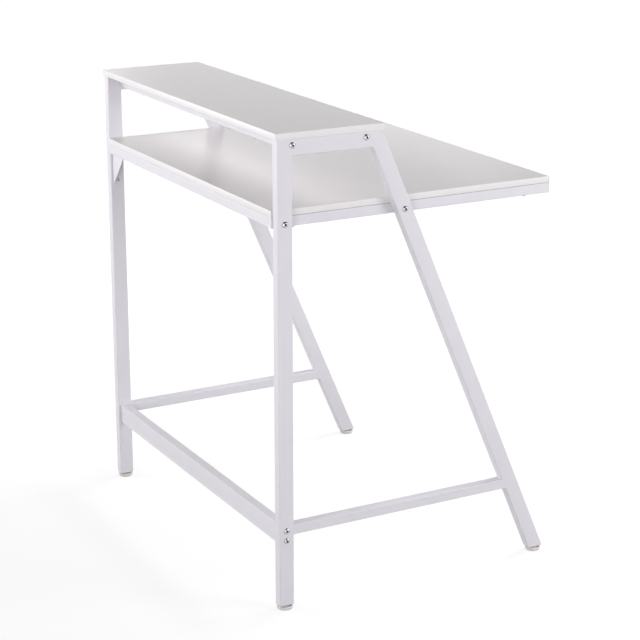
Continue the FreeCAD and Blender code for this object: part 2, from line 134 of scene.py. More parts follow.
class LadderDeskBoards(bpy.types.PropertyGroup):
    """Edge bands of the two boards."""

    thickness: length_setting("Band thickness", "Thickness of the edge band", 1.0)
    arris: length_setting("Arris", "Radius of the band's scraped outer edges", 0.5)
    joint: length_setting("Joint", "Width of the desktop's glued butt joints", 0.6)


class LadderDeskFasteners(bpy.types.PropertyGroup):
    """Socket bolts and pan-head screws."""

    bolt_head: length_setting("Bolt head", "Diameter of a bolt's head", 12.0)
    bolt_dome: length_setting("Bolt dome", "Height of a bolt's head", 3.0)
    bolt_socket: length_setting("Bolt socket", "Hexagon socket across its flats", 4.0)
    screw_head: length_setting("Screw head", "Diameter of a screw's head", 8.0)
    screw_dome: length_setting("Screw dome", "Height of a screw's head", 2.5)
    low_dome: length_setting("Low dome", "Height of the heads under the shelf", 1.2)
    turns: IntProperty(
        name="Facets",
        description="Facets round a turned piece",
        default=48,
        min=12,
        max=128,
    )


class LadderDeskFeet(bpy.types.PropertyGroup):
    """Levelling feet."""

    shadow_gap: length_setting("Shadow gap", "Height from the pad's rim to the tube's cut end", 1.0)
    lower_edge: length_setting("Lower edge", "Radius of the pad's lower edge", 2.8)
    upper_edge: length_setting("Upper edge", "Radius of the pad's upper edge", 0.9)
    rim: length_setting("Rim", "Thickness of the pad's rim", 2.0)
    thread_pitch: length_setting("Thread pitch", "Pitch of the levelling screw's thread", 1.25)


class LadderDeskStage(bpy.types.PropertyGroup):
    """Floor, lamps and camera."""

    floor: colour_setting("Floor", "Colour of the studio floor", "#A0A0A0")
    near_glow: strength_setting("Near glow", "White added to the floor near the desk", 0.71, 1.0)
    far_glow: strength_setting("Far glow", "White added to the floor far away", 1.0, 1.0)
    wall_light: strength_setting("Wall light", "Light from the room at the horizon", 1.48, 4.0)
    ceiling_light: strength_setting("Ceiling light", "Light from the room high up", 0.0, 4.0)
    focal_length: FloatProperty(
        name="Focal length",
        description="Focal length in millimetres on a 36 mm sensor",
        default=103.44,
        min=20.0,
        max=300.0,
    )


SETTINGS = {
    "ladder_desk_finish": LadderDeskFinish,
    "ladder_desk_welds": LadderDeskWelds,
    "ladder_desk_boards": LadderDeskBoards,
    "ladder_desk_fasteners": LadderDeskFasteners,
    "ladder_desk_feet": LadderDeskFeet,
    "ladder_desk_stage": LadderDeskStage,
}


# --- Places read from the frame ---


def centre_of(node):
    """Middle of a node's box."""
    low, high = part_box(node)
    return (low + high) / 2.0


post_low, post_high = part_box("right_rear_post")
leg_low, leg_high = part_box("right_front_leg")
inner_face = post_low.x
outer_face = post_high.x
tube_centre = (inner_face + outer_face) / 2.0
frame_top = post_high.z
tube_end = post_low.z
front_foot = centre_of("right_front_foot_pad").y
rear_foot = centre_of("right_rear_foot_pad").y
leg_level_depth = 2.0 * (front_foot - leg_low.y)
leg_slope = (leg_high.y - leg_low.y - leg_level_depth) / (frame_top - tube_end)


def leg_rear_at(height):
    """Y of the leg's rear face at a height."""
    return leg_high.y - (frame_top - height) * leg_slope


def bolt_centres():
    """(y, z) of each bolt in a side frame, by the group that it belongs to."""
    rear_rail, front_rail = centre_of("shelf_rear_rail"), centre_of("shelf_front_rail")
    desktop = centre_of("desktop_rear_rail").z
    leg = leg_rear_at(desktop) - leg_level_depth / 2.0
    stretcher = centre_of("lower_stretcher").z
    half_pitch = 10.0 * MM
    return {
        "shelf_bolts": ((rear_rail.y, rear_rail.z), (front_rail.y, front_rail.z)),
        "desktop_bolts": ((rear_foot, desktop), (leg, desktop)),
        "stretcher_bolts": [(rear_foot, stretcher + sign * half_pitch) for sign in (1, -1)],
    }


# --- Shared steps ---


def add_node(tree, kind, inputs=None, **settings):
    """Adds one shader node. A socket among the inputs is linked, any other value is set."""
    node = tree.nodes.new(kind)
    for name, value in settings.items():
        setattr(node, name, value)
    for name, value in (inputs or {}).items():
        if isinstance(value, bpy.types.NodeSocket):
            tree.links.new(value, node.inputs[name])
        else:
            node.inputs[name].default_value = value
    return node


def rgba(colour):
    """A colour with full alpha, as sockets take it."""
    return (*colour, 1.0)


def new_material(name):
    """An empty material, its node tree and the positions that its grain follows."""
    material = bpy.data.materials.new(name)
    material.use_nodes = True
    tree = material.node_tree
    tree.nodes.clear()
    return material, tree, add_node(tree, "ShaderNodeTexCoord").outputs["Object"]


def close_material(tree, shader_inputs):
    """Adds the surface shader and the output."""
    shader = add_node(tree, "ShaderNodeBsdfPrincipled", shader_inputs)
    add_node(tree, "ShaderNodeOutputMaterial", {"Surface": shader.outputs["BSDF"]})


def relief_and_gloss(tree, grain, strength, depth, smoothest, roughest):
    """The shader's Normal and Roughness where the grain stands up and varies the gloss."""
    relief = {"Height": grain, "Strength": strength, "Distance": depth}
    gloss = {"Value": grain, "To Min": smoothest, "To Max": roughest}
    return {
        "Normal": add_node(tree, "ShaderNodeBump", relief).outputs["Normal"],
        "Roughness": add_node(tree, "ShaderNodeMapRange", gloss).outputs["Result"],
    }


def drifting_tone(tree, position, width, detail, colours):
    """Patches of a width, and a colour that drifts between two with them."""
    patches = {"Vector": position, "Scale": 1.0 / width, "Detail": detail}
    share = add_node(tree, "ShaderNodeTexNoise", patches).outputs["Fac"]
    shades = {0: share, 6: rgba(colours[0]), 7: rgba(colours[1])}
    return share, add_node(tree, "ShaderNodeMix", shades, data_type="RGBA").outputs[2]


def mesh_from(name, bm, sharp_degrees=50.0):
    """Turns a bmesh into a mesh, smooth except across edges sharper than the angle."""
    bmesh.ops.recalc_face_normals(bm, faces=bm.faces)
    mesh = bpy.data.meshes.new(name)
    bm.to_mesh(mesh)
    bm.free()
    mesh.shade_smooth()
    mesh.set_sharp_from_angle(angle=math.radians(sharp_degrees))
    return mesh


def place(name, mesh, materials, slot, body="desk", replaced=()):
    """Puts a finished mesh into the scene with its materials, on its body; the slot argument is not
    used.
    """
    for material in materials:
        mesh.materials.append(material)
    piece = bpy.data.objects.new(name, mesh)
    bpy.context.scene.collection.objects.link(piece)
    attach(piece, body)
    if replaced:
        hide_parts(*replaced)
    return piece


def dress(nodes, material):
    """Gives carried-over nodes of the frame their material."""
    for name in nodes:
        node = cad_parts[name]
        for material_slot in node.material_slots:
            material_slot.link = "OBJECT"
            material_slot.material = material


def rounded_outline(points, steps=5):
    """(radius, height) points from (radius, height, corner radius) ones, each corner an arc."""
    outline = []
    for index, (x, y, corner) in enumerate(points):
        here = Vector((x, y))
        if corner <= 0.0 or index in (0, len(points) - 1):
            outline.append(here)
            continue
        before = (Vector(points[index - 1][:2]) - here).normalized()
        after = (Vector(points[index + 1][:2]) - here).normalized()
        half_angle = before.angle(after) / 2.0
        reach = corner / math.tan(half_angle)
        middle = here + (before + after).normalized() * (corner / math.sin(half_angle))
        start = here + before * reach - middle
        end = here + after * reach - middle
        turn = start.angle_signed(end)
        for step in range(steps + 1):
            angle = -turn * step / steps
            cosine, sine = math.cos(angle), math.sin(angle)
            x, y = start.x * cosine - start.y * sine, start.x * sine + start.y * cosine
            outline.append(middle + Vector((x, y)))
    return outline


def circle(count):
    """(x, y) of evenly spaced points round a circle of radius one."""
    angles = [2.0 * math.pi * index / count for index in range(count)]
    return [(math.cos(angle), math.sin(angle)) for angle in angles]


def turned(outline, facets):
    """A solid turned round +Z from (radius, height) points that start and end on the axis."""
    bm = bmesh.new()
    rings = []
    for radius, height in outline:
        if radius < 1e-7:
            rings.append([bm.verts.new((0.0, 0.0, height))])
            continue
        points = [(radius * x, radius * y, height) for x, y in circle(facets)]
        rings.append([bm.verts.new(point) for point in points])
    for lower, upper in zip(rings, rings[1:]):
        for index in range(facets):
            following = (index + 1) % facets
            corners = [
                lower[index % len(lower)],
                lower[following % len(lower)],
                upper[following % len(upper)],
                upper[index % len(upper)],
            ]
            bm.faces.new(list(dict.fromkeys(corners)))
    return bm


def frustum(sides, lower_radius, upper_radius, bottom, top, turn=0.0):
    """A tapered prism on +Z, turned by an angle."""
    bm = bmesh.new()
    bmesh.ops.create_cone(
        bm,
        cap_ends=True,
        segments=sides,
        radius1=lower_radius,
        radius2=upper_radius,
        depth=top - bottom,
        matrix=Matrix.Rotation(turn, 4, "Z") @ Matrix.Translation((0.0, 0.0, (top + bottom) / 2.0)),
    )
    bmesh.ops.recalc_face_normals(bm, faces=bm.faces)
    return bm


def cut(mesh, cutters, edge_width, edge_angle=38.0):
    """The mesh without the cutters' volume, its edges above the angle slightly softened."""
    collection = bpy.context.scene.collection
    blank = bpy.data.objects.new("blank", mesh)
    collection.objects.link(blank)
    helpers = [blank]
    for bm in cutters:
        tool_mesh = bpy.data.meshes.new("cutter")
        bm.to_mesh(tool_mesh)
        bm.free()
        tool = bpy.data.objects.new("cutter", tool_mesh)
        collection.objects.link(tool)
        helpers.append(tool)
        modifier = blank.modifiers.new("recess", "BOOLEAN")
        modifier.operation = "DIFFERENCE"
        modifier.solver = "EXACT"
        modifier.object = tool
    bevel = blank.modifiers.new("soft edges", "BEVEL")
    bevel.width = edge_width
    bevel.segments = 2
    bevel.limit_method = "ANGLE"
    bevel.angle_limit = math.radians(edge_angle)
    depsgraph = bpy.context.evaluated_depsgraph_get()
    result = bpy.data.meshes.new_from_object(blank.evaluated_get(depsgraph))
    for helper in helpers:
        helper_mesh = helper.data
        bpy.data.objects.remove(helper)
        bpy.data.meshes.remove(helper_mesh)
    return result


def bmesh_of(mesh):
    """A bmesh that takes the mesh's place."""
    bm = bmesh.new()
    bm.from_mesh(mesh)
    bpy.data.meshes.remove(mesh)
    return bm


def add_loft(bm, rings, closed):
    """Faces between rings of points; a closed loft's last ring meets the first, others get ends."""
    following_rings = rings[1:] + rings[:1] if closed else rings[1:]
    for ring, following in zip(rings, following_rings):
        for index in range(len(ring)):
            after = (index + 1) % len(ring)
            bm.faces.new((ring[index], ring[after], following[after], following[index]))
    if not closed:
        bm.faces.new(rings[0])
        bm.faces.new(rings[-1])


def gather(name, mesh, matrices):
    """One mesh with a copy of the given one at each matrix."""
    bm = bmesh.new()
    for matrix in matrices:
        copy = mesh.copy()
        copy.transform(matrix)
        bm.from_mesh(copy)
        bpy.data.meshes.remove(copy)
    return mesh_from(name, bm)


def facing(position, direction, spin=0.0):
    """The matrix that moves the origin to the position and turns +Z to the direction."""
    turn = Vector(direction).to_track_quat("Z", "Y").to_matrix().to_4x4()
    return Matrix.Translation(position) @ turn @ Matrix.Rotation(spin, 4, "Z")


# One turn of a thread: (share of the pitch, share of the thread's depth) from root to root.
THREAD_PROFILE = ((0.0, 0.0), (0.10, 0.0), (0.42, 1.0), (0.58, 1.0), (0.90, 0.0))


def add_thread(bm, radius, depth, pitch, bottom, top, facets):
    """A helical thread round +Z that runs out into a plain core at both ends."""
    per_turn = len(THREAD_PROFILE)
    turns = int((top - bottom) / pitch) - 1
    start = (top + bottom - (turns + 1) * pitch) / 2.0
    end = start + (turns + 1) * pitch
    core = radius - depth

    def ring_at(base, rise, share):
        """A ring that climbs by the rise in one turn, and stands out by a share of the depth."""
        ring = []
        for index, (x, y) in enumerate(circle(facets)):
            height = base + rise * index / facets
            run_out = min(max(min(height - start, end - height) / pitch, 0.0), 1.0)
            reach = core + depth * share * run_out
            ring.append(bm.verts.new((reach * x, reach * y, height)))
        return ring

    rows = []
    for row in range(turns * per_turn + 1):
        offset, share = THREAD_PROFILE[row % per_turn]
        rows.append(ring_at(start + (row // per_turn + offset) * pitch, pitch, share))
    last = facets - 1
    for row in range(len(rows) - 1):
        lower, upper = rows[row], rows[row + 1]
        for index in range(last):
            bm.faces.new((lower[index], lower[index + 1], upper[index + 1], upper[index]))
        if row + per_turn + 1 < len(rows):
            lower_next, upper_next = rows[row + per_turn][0], rows[row + per_turn + 1][0]
            bm.faces.new((lower[last], lower_next, upper_next, upper[last]))
    foot = ring_at(bottom, 0.0, 0.0)
    head = ring_at(top, 0.0, 0.0)
    for index in range(last):
        bm.faces.new((foot[index], foot[index + 1], rows[0][index + 1], rows[0][index]))
        bm.faces.new((rows[-1][index], rows[-1][index + 1], head[index + 1], head[index]))
    bm.faces.new([foot[last], foot[0]] + [row[0] for row in rows[:per_turn + 1]] + [rows[0][last]])
    bm.faces.new([head[last], head[0], rows[-1][0]] + [row[last] for row in rows[-per_turn - 1:]])
    bm.faces.new(foot)
    bm.faces.new(head)


# --- Materials ---


def make_powder_coat(name, finish):
    """Polyester powder, sprayed on degreased steel and baked.

    It leaves an even satin skin with a faint orange peel, so highlights are soft and waver a
    little, and its white drifts by a shade where the coat is thinner.
    """
    material, tree, position = new_material(name)
    # Coat thickness drifts over a hand's width, as the gun passes.
    shades = (finish.powder, finish.powder_thin)
    tone = drifting_tone(tree, position, 90.0 * MM, 2.0, shades)[1]
    # Orange peel has waves of 1 to 5 mm; the wide ones are drawn, because finer ones don't show.
    waves = {"Vector": position, "Scale": 1.0 / finish.orange_peel, "Detail": 3.0}
    peel = add_node(tree, "ShaderNodeTexNoise", waves).outputs["Fac"]
    surface = relief_and_gloss(tree, peel, 1.0, 0.12 * MM, 0.36, 0.46)
    close_material(tree, {"Base Color": tone, "IOR": 1.5, **surface})
    return material


def make_laminate(name, finish):
    """Melamine-faced board, pressed between steel plates with a pearl texture.

    The pearls break reflections into a soft sheen and the printed paper below is faintly cloudy.
    """
    material, tree, position = new_material(name)
    shades = (finish.laminate, finish.laminate_cloud)
    tone = drifting_tone(tree, position, 60.0 * MM, 4.0, shades)[1]
    # Pearls are about 1 mm wide; they are drawn wider, so that they show.
    size = {"Vector": position, "Scale": 1.0 / finish.laminate_grain}
    pearls = add_node(tree, "ShaderNodeTexVoronoi", size, feature="SMOOTH_F1")
    surface = relief_and_gloss(tree, pearls.outputs["Distance"], 0.6, 0.03 * MM, 0.27, 0.35)
    close_material(tree, {"Base Color": tone, "IOR": 1.5, **surface})
    return material


def make_edge_band(name, finish):
    """ABS edge band, extruded, glued hot and scraped flush.

    It is smoother and a little warmer than the laminate, with faint lines along the strip where
    the scraper chattered.
    """
    material, tree, position = new_material(name)
    # Scraper marks are about 0.8 mm apart in height and 50 mm long along the strip.
    per_metre = (1.0 / (50.0 * MM), 1.0 / (50.0 * MM), 1.0 / (0.8 * MM))
    stretch = add_node(tree, "ShaderNodeMapping", {"Vector": position, "Scale": per_metre})
    marks = {"Vector": stretch.outputs["Vector"], "Scale": 1.0, "Detail": 2.0}
    lines = add_node(tree, "ShaderNodeTexNoise", marks).outputs["Fac"]
    surface = relief_and_gloss(tree, lines, 0.5, 0.02 * MM, 0.34, 0.44)
    close_material(tree, {"Base Color": rgba(finish.band), "IOR": 1.53, **surface})
    return material


def make_shade_glue(name, finish):
    """Hot-melt glue, squeezed out at the joints of the edge band, coloured dark as painted shade.

    It shows as thin dull dark lines: painted shade where the band's joints and the groove above the
    frame would lie in shadow.
    """
    material, tree, position = new_material(name)
    lighter = [min(channel * 1.5, 1.0) for channel in finish.shade_glue]
    blobs, tone = drifting_tone(tree, position, 6.0 * MM, 2.0, (finish.shade_glue, lighter))
    dullness = {"Value": blobs, "To Min": 0.5, "To Max": 0.8}
    gloss = add_node(tree, "ShaderNodeMapRange", dullness).outputs["Result"]
    close_material(tree, {"Base Color": tone, "Roughness": gloss, "IOR": 1.5})
    return material


def make_nylon(name, finish):
    """Nylon, injection-moulded in a spark-eroded mould.

    Light enters it a little, so its edges glow softly. The mould leaves a fine matt grain.
    """
    material, tree, position = new_material(name)
    pits = {"Vector": position, "Scale": 1.0 / (0.7 * MM), "Detail": 2.0}
    grain = add_node(tree, "ShaderNodeTexNoise", pits).outputs["Fac"]
    shader_inputs = {
        "Base Color": rgba(finish.nylon),
        "IOR": 1.53,
        "Subsurface Weight": 0.15,
        "Subsurface Radius": (1.0, 0.9, 0.7),
        "Subsurface Scale": 2.0 * MM,
    }
    surface = relief_and_gloss(tree, grain, 0.5, 0.03 * MM, 0.42, 0.55)
    close_material(tree, {**shader_inputs, **surface})
    return material


# Colour setting, smoothest and roughest gloss, and width and depth of the specks in millimetres.
METALS = {
    # Bright nickel, barrel-plated: small heads that mirror the room, with softened edges.
    "barrel_plated_nickel": ("nickel", 0.26, 0.38, 1.5, 0.008),
    # The inside of a driving recess: plating throws thin there and stays dull; its dark colour is
    # partly painted shade.
    "thin_plated_recess_with_painted_shade": ("recess", 0.5, 0.7, 0.5, 0.01),
    # Clear-passivated zinc: bluish and duller than nickel.
    "passivated_zinc": ("zinc", 0.30, 0.45, 2.0, 0.015),
    # Cold-rolled mild steel, left bare inside the tubes: dull, with uneven scale.
    "bare_rolled_steel": ("steel", 0.45, 0.65, 4.0, 0.03),
}


def make_metal(name, finish):
    """Plated or bare steel: fine specks in the plating or scale make its gloss uneven."""
    setting, smoothest, roughest, speck, depth = METALS[name]
    material, tree, position = new_material(name)
    colour = getattr(finish, setting)
    darker = [channel * 0.86 for channel in colour]
    specks, tone = drifting_tone(tree, position, speck * MM, 3.0, (colour, darker))
    surface = relief_and_gloss(tree, specks, 0.5, depth * MM, smoothest, roughest)
    close_material(tree, {"Base Color": tone, "Metallic": 1.0, **surface})
    return material


MAKERS = {
    "sprayed_and_baked_powder_coat": make_powder_coat,
    "pressed_melamine_laminate": make_laminate,
    "extruded_abs_edge_band": make_edge_band,
    "hot_melt_glue_painted_as_shade": make_shade_glue,
    "moulded_nylon": make_nylon,
}


def material_named(name):
    """The material if it is there, or else a newly made one."""
    make = MAKERS.get(name, make_metal)
    return bpy.data.materials.get(name) or make(name, bpy.context.scene.ladder_desk_finish)


# --- Pieces ---


BEAD_FACETS = 10  # points round a weld bead
RIPPLE_STEPS = 4  # rings along one ripple of a bead
RIPPLE_SWELL = 0.06  # share of its radius by which a bead swells at each ripple
BEAD_SUNK = 0.35  # share of its radius by which a side frame's bead lies inside the rail
BEAD_SKIN = 0.02 * MM  # height that a ground bead keeps over the tube's sides
TUBE_CORNER = 2.0 * MM


def bead_swell(index):
    """How much wider than its mean a bead is at a ring."""
    return 1.0 + RIPPLE_SWELL * math.cos(2.0 * math.pi * index / RIPPLE_STEPS)


def rail_outline(half_x, half_z, spacing):
    """Points round a tube's end, as (x, z, outward x, outward z)."""
    points, corner_steps = [], 4
    for quarter, (sign_x, sign_z) in enumerate(((1, 1), (-1, 1), (-1, -1), (1, -1))):
        centre_x, centre_z = sign_x * (half_x - TUBE_CORNER), sign_z * (half_z - TUBE_CORNER)
        for step in range(corner_steps + 1):
            angle = math.radians(90.0 * (quarter + step / corner_steps))
            out_x, out_z = math.cos(angle), math.sin(angle)
            x, z = centre_x + TUBE_CORNER * out_x, centre_z + TUBE_CORNER * out_z
            points.append((x, z, out_x, out_z))
        straight = 2.0 * ((half_x if quarter % 2 == 0 else half_z) - TUBE_CORNER)
        count = max(2, int(straight / spacing))
        x, z, out_x, out_z = points[-1]
        for step in range(1, count):
            reach = straight * step / count
            points.append((x - out_z * reach, z + out_x * reach, out_x, out_z))
    return points


def add_bead(bm, rail, side_sign, seat_y, slope, away, welds):
    """A bead round a rail's end, where it is welded to a tube's face.

    seat_y gives the face's Y at a height and slope its lean; away is +1 where the rail lies behind
    the face. The bead is ground flush with both sides of the frame.
    """
    low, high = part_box(rail)
    middle = (low + high) / 2.0
    half_x, half_z = (high.x - low.x) / 2.0, (high.z - low.z) / 2.0
    tilt = Vector((0.0, away, -away * slope)).normalized()
    limit_low, limit_high = sorted((side_sign * inner_face, side_sign * outer_face))
    outline = rail_outline(half_x, half_z, welds.ripple / RIPPLE_STEPS)
    rings = []
    for index, (x, z, out_x, out_z) in enumerate(outline):
        centre = Vector((middle.x + x, seat_y(middle.z + z), middle.z + z))
        outward = Vector((out_x, out_z * slope, out_z)).normalized()
        radius = welds.radius * bead_swell(index)
        centre -= outward * (BEAD_SUNK * welds.radius)
        ring = []
        for across, along in circle(BEAD_FACETS):
            point = centre + (outward * across + tilt * along) * radius
            point.x = min(max(point.x, limit_low - BEAD_SKIN), limit_high + BEAD_SKIN)
            point.z = min(point.z, frame_top)
            ring.append(bm.verts.new(point))
        rings.append(ring)
    add_loft(bm, rings, closed=True)


def make_side_frame_welds(side, side_sign, welds):
    """The beads of one side frame: both ends of the lower rail and the top rail's front end."""
    bm = bmesh.new()
    lower, top = side + "_lower_rail", side + "_top_rail"
    add_bead(bm, lower, side_sign, lambda z: post_low.y, 0.0, -1.0, welds)
    add_bead(bm, lower, side_sign, leg_rear_at, leg_slope, 1.0, welds)
    add_bead(bm, top, side_sign, leg_rear_at, leg_slope, 1.0, welds)
    return mesh_from(side + "_frame_weld_beads", bm, sharp_degrees=40.0)


def make_desktop_welds(welds):
    """Upright beads in the four inner corners of the desktop's frame."""
    bm = bmesh.new()
    rear_low, rear_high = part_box("desktop_rear_rail")
    front_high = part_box("desktop_front_rail")[1]
    inner_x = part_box("desktop_right_rail")[0].x
    steps = 28
    margin, finest = 0.6 * MM, 0.05 * MM
    around = [Vector((x, y, 0.0)) for x, y in circle(BEAD_FACETS)]
    bottom, length = rear_low.z + margin, rear_high.z - rear_low.z - 2.0 * margin
    for _, side_sign in SIDES:
        for y in (rear_low.y, front_high.y):
            rings = []
            for step in range(steps + 1):
                share = step / steps
                fade = max(math.sin(math.pi * share), 0.0) ** 0.25
                radius = max(welds.radius * fade * bead_swell(step), finest)
                centre = Vector((side_sign * inner_x, y, bottom + length * share))
                rings.append([bm.verts.new(centre + radius * outward) for outward in around])
            add_loft(bm, rings, closed=False)
    return mesh_from("desktop_frame_weld_beads", bm, sharp_degrees=40.0)


def add_block(bm, low, high):
    """The corner points of a new block between two opposite corners."""
    low, high = Vector(low), Vector(high)
    size = high - low
    matrix = Matrix.Translation((low + high) / 2.0) @ Matrix.Diagonal((size.x, size.y, size.z, 1.0))
    return bmesh.ops.create_cube(bm, size=1.0, matrix=matrix)["verts"]


def add_strip(bm, low, high, rounded, arris):
    """One strip of band; the edges that rounded() picks get the arris radius."""
    edges = {edge for vert in add_block(bm, low, high) for edge in vert.link_edges}
    chosen = [edge for edge in edges if rounded(edge.verts[0].co, edge.verts[1].co)]
    bmesh.ops.bevel(bm, geom=chosen, offset=arris, segments=3, profile=0.5, affect="EDGES")


def add_shade_glue(bm, low, high):
    """One filling of glue, with the second material, whose dark colour is painted shade."""
    for face in {face for vert in add_block(bm, low, high) for face in vert.link_faces}:
        face.material_index = 1


# Glue fillings: dark painted shade in the butt joints and in the groove above the frame.
SHADE_GLUE_SUNK = 0.12 * MM  # how far a joint's glue stays behind the band's face
GROOVE_SHADE_GLUE = (0.55 * MM, 1.40 * MM)  # its start and end behind the face
GROOVE_DEPTH = 0.62 * MM
GROOVE_END = 2.0 * MM  # length left free at each end of the groove


def make_band(node, boards, joint):
    """The four strips round a board; the front and rear ones cover the ends of the others.

    joint is the width of the gap at each butt joint, which glue painted dark as shade fills. Where
    there is one, the same glue also fills the groove between the end strips and the steel frame
    below, as painted shade.
    """
    low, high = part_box(node)
    thick = boards.thickness
    hairline = 0.25 * joint
    inset = 0.1 * MM
    bm = bmesh.new()
    near = 0.01 * MM
    for _, end_sign in ENDS:
        outer = high.y if end_sign > 0 else low.y
        inner = outer - end_sign * thick
        y_low, y_high = sorted((outer, inner))
        add_strip(
            bm,
            (low.x, y_low, low.z),
            (high.x, y_high, high.z),
            lambda a, b: max(abs(a.y - inner), abs(b.y - inner)) >= near,
            boards.arris,
        )
    for _, side_sign in SIDES:
        outer = high.x if side_sign > 0 else low.x
        inner = outer - side_sign * thick
        x_low, x_high = sorted((outer, inner + side_sign * hairline))
        add_strip(
            bm,
            (x_low, low.y + thick + joint, low.z),
            (x_high, high.y - thick - joint, high.z),
            lambda a, b: max(abs(a.x - outer), abs(b.x - outer), abs(a.z - b.z)) < near,
            boards.arris,
        )
        if joint <= 0.0:
            continue
        x_low, x_high = sorted((inner, inner + side_sign * hairline))
        add_shade_glue(
            bm,
            (x_low, low.y + thick + joint, low.z + inset),
            (x_high, high.y - thick - joint, high.z - inset / 2.0),
        )
        x_low, x_high = sorted((outer - side_sign * SHADE_GLUE_SUNK, inner))
        for y in (low.y + thick, high.y - thick - joint):
            add_shade_glue(bm, (x_low, y, low.z + inset), (x_high, y + joint, high.z - inset))
        # Painted shade: dark glue in the groove between the end strip and the frame's rounded tube.
        x_low, x_high = sorted(outer - side_sign * distance for distance in GROOVE_SHADE_GLUE)
        add_shade_glue(
            bm,
            (x_low, low.y + GROOVE_END, low.z - GROOVE_DEPTH),
            (x_high, high.y - GROOVE_END, low.z + 0.02 * MM),
        )
    return mesh_from(node + "_strips", bm)


RECESS_REACH = 2.6 * MM  # how far a driving recess reaches from a head's axis
SOFTENED = 0.06 * MM  # width of the softened edges of a plated head
BOLT_RADIUS = 3.0 * MM
BOLT_LENGTH = 30.0 * MM
BOLT_NECK = 12.0 * MM  # plain length below the head
BOLT_THREAD = (0.6 * MM, 1.0 * MM)  # depth and pitch
SOCKET_DEPTH = 1.8 * MM
SCREW_RADIUS = 2.0 * MM
SCREW_THREAD = (0.45 * MM, 1.4 * MM)
CROSS_DEPTH = 1.7 * MM
WING_WIDTH = 0.26  # a cross recess's wing against its length


def make_head(outline, facets, cutters):
    """A plated head, turned and then cut, with the second material, partly painted shade, inside
    its recess.
    """
    blank = mesh_from("head_blank", turned(rounded_outline(outline), facets))
    head = cut(blank, cutters, SOFTENED)
    top = outline[-1][1]
    # Faces inside the recess get the darker recess material, partly painted shade.
    for face in head.polygons:
        middle = face.center
        if middle.xy.length < RECESS_REACH and 0.1 * top < middle.z < 0.9 * top:
            face.material_index = 1
    return bmesh_of(head)


def make_bolt(fasteners):
    """A button-head bolt on +Z, its bearing face at zero: domed head, hexagon socket, thread."""
    radius, dome = fasteners.bolt_head / 2.0, fasteners.bolt_dome
    outline = [
        (0.0, 0.0, 0.0),
        (radius - 0.15 * MM, 0.0, 0.0),
        (radius, 0.15 * MM, 0.0),
        (radius, 0.55 * MM, 0.2 * MM),
        (radius * 0.86, dome * 0.60, 2.4 * MM),
        (radius * 0.56, dome, 2.2 * MM),
        (0.0, dome, 0.0),
    ]
    socket_radius = fasteners.bolt_socket / math.sqrt(3.0)
    floor = dome - SOCKET_DEPTH
    cutters = [
        frustum(6, socket_radius, socket_radius, floor, dome + 1.0 * MM),
        frustum(24, 0.2 * MM, fasteners.bolt_socket / 2.0, floor - 0.5 * MM, floor + 0.05 * MM),
        frustum(32, socket_radius, socket_radius + 0.5 * MM, dome - 0.25 * MM, dome + 0.25 * MM),
    ]
    bm = make_head(outline, fasteners.turns, cutters)
    neck = [(0.0, -BOLT_NECK), (BOLT_RADIUS, -BOLT_NECK), (BOLT_RADIUS, 0.1 * MM), (0.0, 0.1 * MM)]
    neck_mesh = mesh_from("neck", turned(neck, 24))
    bm.from_mesh(neck_mesh)
    bpy.data.meshes.remove(neck_mesh)
    add_thread(bm, BOLT_RADIUS, *BOLT_THREAD, -BOLT_LENGTH, 0.2 * MM - BOLT_NECK, 20)
    return mesh_from("bolt", bm)


def make_screw(fasteners, length, dome):
    """A pan-head screw on +Z with a cross recess, its bearing face at zero."""
    radius = fasteners.screw_head / 2.0
    outline = [
        (0.0, 0.0, 0.0),
        (radius - 0.1 * MM, 0.0, 0.0),
        (radius, 0.1 * MM, 0.0),
        (radius, dome * 0.45, 0.5 * MM),
        (radius * 0.74, dome * 0.94, 1.2 * MM),
        (radius * 0.30, dome, 3.0 * MM),
        (0.0, dome, 0.0),
    ]
    depth = min(CROSS_DEPTH, dome - 0.2 * MM)
    cutters = []
    for turn in (0.0, math.pi / 2.0):
        wing = frustum(4, 1.1 * MM, 3.4 * MM, dome - depth, dome + 0.4 * MM, turn=math.pi / 4.0)
        narrowed = Matrix.Rotation(turn, 4, "Z") @ Matrix.Diagonal((1.0, WING_WIDTH, 1.0, 1.0))
        bmesh.ops.transform(wing, matrix=narrowed, verts=wing.verts)
        cutters.append(wing)
    bm = make_head(outline, fasteners.turns, cutters)
    add_thread(bm, SCREW_RADIUS, *SCREW_THREAD, -length, 0.1 * MM, 16)
    return mesh_from("screw", bm)


HEX_FLAT = math.cos(math.radians(30.0))  # half width across a hexagon's flats, by its radius
POCKET_FLAT = 6.55 * MM  # half width across the flats of a foot pad's pocket
HEAD_FLAT = 6.45 * MM  # and of the screw's head that sits in it
HEAD_BOTTOM = 2.5 * MM
HEAD_TOP = 9.0 * MM
STUD_RADIUS = 4.0 * MM
STUD_THREAD_DEPTH = 0.70 * MM


